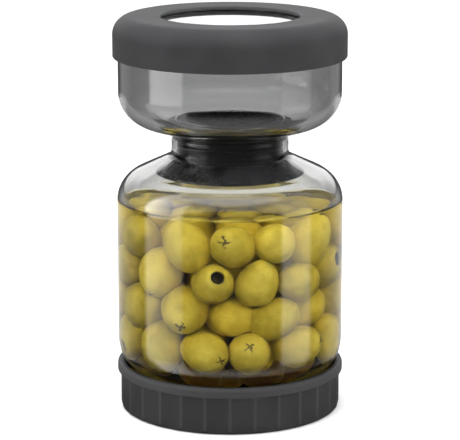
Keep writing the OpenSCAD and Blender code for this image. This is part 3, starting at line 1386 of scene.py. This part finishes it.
    def layer(self) -> tuple[np.ndarray, np.ndarray]:
        """Lays plain olives in rings in the mouth, under the heap.

        Returns:
            Their middles, and their turns as Euler angles.
        """
        spots = [(reach, 2 * math.pi * k / n) for reach, n in self.mouth_rings for k in range(n)]
        z = self.brine_low_z + self.mouth_size * self.half_width + self.mouth_lift
        places = [(reach * math.cos(a), reach * math.sin(a), z) for reach, a in spots]
        ends = [Vector((-math.sin(a), math.cos(a), 0.0)) for _, a in spots]
        return np.array(places), np.array([end.to_track_quat("Z", "Y").to_euler() for end in ends])

    def heap(self, jar: GlassJar) -> None:
        """Heaps the olives.

        Args:
            jar: The jar that holds them.
        """
        chance = np.random.default_rng(self.seed)
        places, sizes = self.settle(jar, chance)
        kinds = chance.choice([k.value for k in OliveKind], self.count, p=self.kind_shares)
        places, turns = self.turn(places, sizes, kinds, jar, chance)
        low_places, low_turns = self.layer()
        low = len(low_places)
        mesh = bpy.data.meshes.new("olives")
        mesh.from_pydata((np.vstack([places, low_places]) * MM).tolist(), [], [])
        self.store(mesh, "olive_kind", "INT", np.append(kinds, np.full(low, OliveKind.PLAIN.value)))
        self.store(mesh, "olive_turn", "FLOAT_VECTOR", np.vstack([turns, low_turns]))
        self.store(mesh, "olive_size", "FLOAT", np.append(sizes, np.full(low, self.mouth_size)))
        self.store(mesh, "olive_hue", "FLOAT", chance.uniform(*self.hue_range, self.count + low))
        self.olives = put("olives", mesh)
        models = [self.olive(kind) for kind in OliveKind]
        HeapShape(models).run(self.olives, {"Material": OLIVE.material()})
        for model in models:
            bpy.data.objects.remove(model)

    def pour(self, jar: GlassJar) -> None:
        """Pours the brine, which climbs a little at the glass.

        Args:
            jar: The jar that holds it.
        """
        bore = jar.chamber_bore_r
        mouth = jar.mouth_bore_r + self.lap
        rim_z = self.brine_z + self.meniscus
        bend_in, bend_share, bend_round = self.meniscus_bend
        self.brine = turned("brine", [
            Corner(0.0, self.brine_low_z),
            Corner(jar.mouth_bore_r - self.brine_inset, self.brine_low_z, self.brine_edge),
            Corner(mouth, self.brine_low_z + self.brine_step),
            Corner(mouth, jar.mouth_top_z, jar.lip_round),
            Corner(bore + self.lap, jar.chamber_low_z, jar.base_fillet - jar.wall),
            Corner(bore + self.lap, rim_z),
            Corner(bore, rim_z, self.meniscus_edge),
            Corner(bore - bend_in, self.brine_z + bend_share * self.meniscus, bend_round),
            Corner(bore - self.meniscus_reach, self.brine_z, self.meniscus_foot),
            Corner(0.0, self.brine_z),
        ])

    def build(self, jar: GlassJar) -> None:
        """Heaps the olives in a jar and pours the brine."""
        self.heap(jar)
        self.pour(jar)

    def dress(self) -> None:
        """Gives the brine its finish and hands both over."""
        dress(self.brine, BRINE.material())
        hand_over(self.olives, "jar")
        hand_over(self.brine, "jar")


@dataclass(frozen=True)
class Patch:
    """A soft patch of the painted room: its brightness by rise, by how far to the front, and by angle."""

    rise: Ramp | None = None
    front: Ramp | None = None
    aside: Ramp | None = None


@dataclass(frozen=True)
class Strip:
    """How bright the side boxes are over part of their rise.

    The left one runs from a near edge to a far one and stops at its own end, and the right one is even.
    """

    near: float
    far: float
    right: float
    left_end: float
    rises: tuple[Ramp, ...]


class RoomBench(NodeBench):
    """Wires a world by direction: how far it rises, how far it comes to the front, and its turn."""

    def __init__(self, tree: bpy.types.NodeTree) -> None:
        """Empties the tree and reads the direction.

        Args:
            tree: The world's tree.
        """
        super().__init__(tree)
        self.tree.nodes.clear()
        x, y, self.rise = self.axes(self.add("ShaderNodeTexCoord").outputs["Generated"])
        left, self.front = (self.product(side, -1.0) for side in (x, y))
        self.turn = self.math("ARCTAN2", left, self.front)
        self.aside = self.math("ABSOLUTE", self.turn)

    def patch(self, patch: Patch) -> Socket:
        """Paints one patch, the product of its ramps."""
        ramps = ((self.rise, patch.rise), (self.front, patch.front), (self.aside, patch.aside))
        return self.product(*(self.span(value, *ramp) for value, ramp in ramps if ramp))


@dataclass
class PaintedRoom:
    """The studio as the glass shows it: a white sweep behind, a tall soft box at each side, and one overhead.

    Angles are radians about the jar, from its front, and a brightness of 1 is white.
    """

    fill: float = 0.38
    dark: float = 0.06
    walls: Patch = Patch(aside=((0.55, 0.80), (0.07, 0.06)))
    left_box: Point = (0.84, 1.72)
    right_box: Point = (0.93, 1.62)
    box_top: Patch = Patch(rise=((0.82, 0.93), FALLING))
    box_seam: Point = (-0.204, -0.188)
    box_seam_edge: float = 0.002
    strips: tuple[Strip, ...] = (
        Strip(1.7, 3.5, 0.55, 1.60, (((-0.206, -0.196), RISING),)),
        Strip(1.7, 3.5, 0.55, 1.60, (((-0.46, -0.24), (0.65, 0.0)),)),
        Strip(0.6, 1.4, 1.1, 1.72, (((-0.46, -0.45), RISING), ((-0.206, -0.196), FALLING))),
        Strip(0.9, 5.2, 0.4, 1.72, (((-0.12, 0.05), RISING),)),
    )
    overhead: Patch = Patch(rise=((0.72, 0.82), RISING), front=((0.02, 0.12), (0.0, 2.2)))
    edge: Patch = Patch(aside=((1.70, 2.90), RISING), rise=((0.0, 0.08), FALLING))
    edge_cut: Patch = Patch(aside=((2.30, 2.80), (0.0, 0.9)))
    edge_cut_high: Patch = Patch(rise=((-0.204, -0.188), RISING))
    edge_cut_low: Patch = Patch(rise=((-0.36, -0.30), (0.8, 0.0)))
    paper: Patch = Patch(rise=((-0.75, -0.50), (0.9, 0.0)), aside=((0.6, 1.4), (1.0, 0.7)))
    sweep: Patch = Patch(aside=((2.20, 2.70), (0.0, 2.2)))
    sweep_rise: Point = (0.05, 0.50)
    inner_sweep: float = 0.2
    inner_boxes: Patch = Patch(rise=((0.62, 0.74), (1.5, 0.3)))
    dip: Patch = Patch(aside=((2.30, 2.60), (0.0, 0.5)), rise=((-0.36, -0.31), RISING))
    dip_end: Patch = Patch(aside=((2.97, 3.11), FALLING))
    rim: Patch = Patch(aside=((1.90, 2.35), (0.8, 0.0)), rise=((-0.205, -0.190), RISING))
    clear_top: Patch = Patch(rise=((0.0, 0.10), (1.0, 0.2)))
    sky: Patch = Patch(front=((-0.20, 0.20), (10.0, 17.0)), rise=((0.45, 0.85), (1.0, 0.35)))
    sky_rise: Point = (0.20, 0.98)

    def boxes(self, bench: RoomBench) -> Socket:
        """Paints the two side boxes.

        Args:
            bench: The world's tree.

        Returns:
            The socket with their brightness.
        """
        right = bench.between(bench.product(bench.turn, -1.0), self.right_box)
        shine: Feed = 0.0
        for strip in self.strips:
            left = bench.product(
                bench.span(bench.turn, self.left_box, (strip.near, strip.far)),
                bench.between(bench.turn, (self.left_box[0], strip.left_end)))
            pair = bench.most(left, bench.product(right, strip.right))
            level = bench.product(*(bench.span(bench.rise, *ramp) for ramp in strip.rises))
            shine = bench.most(shine, bench.product(pair, level))
        seam = bench.inverse(bench.between(bench.rise, self.box_seam, self.box_seam_edge))
        return bench.product(bench.patch(self.box_top), seam, shine)

    def mirrors(self, bench: RoomBench) -> tuple[Socket, Socket]:
        """Paints what the glass mirrors.

        Args:
            bench: The world's tree.

        Returns:
            Sockets with the brightness of what is mirrored outside, and of what is mirrored inside the glass.
        """
        cut = bench.most(bench.patch(self.edge_cut_high), bench.patch(self.edge_cut_low))
        cut = bench.product(bench.patch(self.edge_cut), cut)
        edge = bench.product(bench.patch(self.edge), bench.inverse(cut))
        plain = bench.most(bench.patch(self.walls), bench.patch(self.overhead), edge, bench.patch(self.paper))
        boxes = self.boxes(bench)
        sweep = bench.product(bench.patch(self.sweep), bench.between(bench.rise, self.sweep_rise))
        inner_sweep = bench.product(sweep, self.inner_sweep)
        inner_boxes = bench.product(boxes, bench.patch(self.inner_boxes))
        return bench.most(plain, boxes, sweep), bench.most(plain, inner_sweep, inner_boxes)

    def clear(self, bench: RoomBench) -> Socket:
        """Paints what is seen straight through the glass.

        Args:
            bench: The world's tree.

        Returns:
            The socket with its brightness.
        """
        dip = bench.product(bench.patch(self.dip), bench.patch(self.dip_end))
        return bench.product(
            bench.inverse(dip), bench.patch(self.clear_top), bench.inverse(bench.patch(self.rim)))

    def light(self, bench: RoomBench) -> Socket:
        """Paints what lights the things in the glass."""
        sky = bench.product(bench.patch(self.sky), bench.between(bench.rise, self.sky_rise))
        return bench.most(sky, self.dark)

    def build(self) -> None:
        """Makes the room: white where it is seen, a studio where it is mirrored, and soft light elsewhere."""
        world = bpy.data.worlds.new("studio")
        world.use_nodes = True
        bpy.context.scene.world = world
        bench = RoomBench(world.node_tree)
        path = bench.add("ShaderNodeLightPath").outputs
        camera, glossy, through = (path[f"Is {kind} Ray"] for kind in ("Camera", "Glossy", "Transmission"))
        lit, bounced = (
            bench.math("GREATER_THAN", path[f"{kind} Depth"], 0.5) for kind in ("Diffuse", "Glossy"))
        mirrored, inner = self.mirrors(bench)
        shown = bench.choose(bounced, inner, self.clear(bench))
        shown = bench.choose(lit, self.light(bench), shown)
        shown = bench.choose(through, shown, mirrored)
        shown = bench.choose(bench.most(glossy, through), shown, self.fill)
        strength = bench.choose(camera, 1.0, shown)
        back = bench.add("ShaderNodeBackground", {"Color": (*WHITE, 1.0), "Strength": strength})
        bench.add("ShaderNodeOutputWorld", {"Surface": back.outputs[0]})


@dataclass(frozen=True)
class Lamp:
    """A soft box, in metres: where it stands, what it faces, its width and height, and its power."""

    name: str
    place: Place
    faces: Place
    width: float
    height: float
    watts: float


@dataclass
class Studio:
    """White sweep, boxes and camera in metres; the lens, its sensor and the black card in millimetres."""

    camera_place: Place = (0.0, -1.0, 0.314)
    camera_pitch: float = 77.06
    lens: float = 180.8
    sensor: float = 36.0
    floor_half: float = 6.0
    card_r: float = 75.0
    card_t: float = 0.02
    card_facets: int = 64
    card_colour: Colour = (0.01, 0.01, 0.01)
    lamps: tuple[Lamp, ...] = (
        Lamp("front_box", (0.45, -1.10, 0.85), (0.0, 0.0, 0.10), 0.80, 0.70, 2.7),
        Lamp("left_box", (-1.10, 0.15, 0.45), (0.0, 0.0, 0.10), 0.35, 0.90, 0.9),
        Lamp("right_box", (1.10, 0.10, 0.45), (0.0, 0.0, 0.10), 0.35, 0.90, 5.2),
        Lamp("top_box", (-0.10, -0.05, 1.15), (0.0, 0.0, 0.10), 0.70, 0.70, 20.0),
    )

    def build(self) -> None:
        """Lays the sweep and the card, hangs the boxes, paints the room and sets the camera."""
        self.lay_sweep()
        self.lay_card()
        for lamp in self.lamps:
            self.hang(lamp)
        PaintedRoom().build()
        view = put("camera", bpy.data.cameras.new("camera"))
        view.location = self.camera_place
        view.rotation_euler = (math.radians(self.camera_pitch), 0.0, 0.0)
        view.data.sensor_width = self.sensor
        view.data.lens = self.lens
        bpy.context.scene.camera = view
        bpy.context.scene.view_settings.view_transform = "Standard"

    def lay_sweep(self) -> None:
        """Lays the white floor, which the painted room stands for in the glass."""
        mesh = bpy.data.meshes.new("sweep")
        half = self.floor_half
        corners = [(-half, -half, 0.0), (half, -half, 0.0), (half, half, 0.0), (-half, half, 0.0)]
        mesh.from_pydata(corners, [], [(0, 1, 2, 3)])
        floor = put("sweep", mesh)
        dress(floor, FLOOR.material())
        floor.visible_glossy = False
        floor.visible_transmission = False

    def lay_card(self) -> None:
        """Lays a black card under the jar, which only mirrored rays meet."""
        points = [(0.0, 0.0), (self.card_r, 0.0), (self.card_r, self.card_t), (0.0, self.card_t)]
        card = put("card", turned_mesh("card", points, even_turns(self.card_facets)))
        bench = SurfaceBench("black_card")
        bench.set(Base_Color=(*self.card_colour, 1.0), Roughness=1.0, Specular_IOR_Level=0.0)
        dress(card, bench.material)
        for ray in ("camera", "diffuse", "transmission", "shadow"):
            setattr(card, f"visible_{ray}", False)

    def hang(self, lamp: Lamp) -> None:
        """Hangs one soft box.

        Args:
            lamp: The soft box.
        """
        light = bpy.data.lights.new(lamp.name, "AREA")
        light.shape = "RECTANGLE"
        light.size, light.size_y = lamp.width, lamp.height
        light.energy = lamp.watts
        box = put(lamp.name, light)
        box.location = lamp.place
        aim = np.array(lamp.faces) - np.array(lamp.place)
        flat = math.hypot(aim[0], aim[1])
        box.rotation_euler = (math.atan2(flat, -aim[2]), 0.0, math.atan2(-aim[0], aim[1]))
        box.visible_glossy = False
        box.visible_transmission = False


def main() -> None:
    """Builds the jar piece by piece, dresses it and sets it in the studio."""
    logging.basicConfig(level=logging.INFO, format="%(name)s: %(message)s")
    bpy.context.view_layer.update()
    jar = GlassJar()
    jar.build()
    jar.dress()
    boot = Boot()
    boot.build()
    boot.dress()
    strainer = Strainer()
    strainer.build()
    strainer.dress(frame["nodes"])
    lid = ScrewLid()
    lid.build()
    lid.dress(FluteShape())
    beads = ThreadShape()
    for thread, finish in (
        (Thread("mouth_thread", "jar", "glass", radius=44.7, foot=8.2, bead=0.68), jar.finish),
        (Thread("liner_thread", "lid", "lid_plastic", radius=46.2, foot=9.95, bead=0.62), lid.plastic),
    ):
        thread.build(beads, finish)
        thread.dress()
    pickles = Pickles()
    pickles.build(jar)
    pickles.dress()
    Studio().build()


if __name__ == "__main__":
    main()
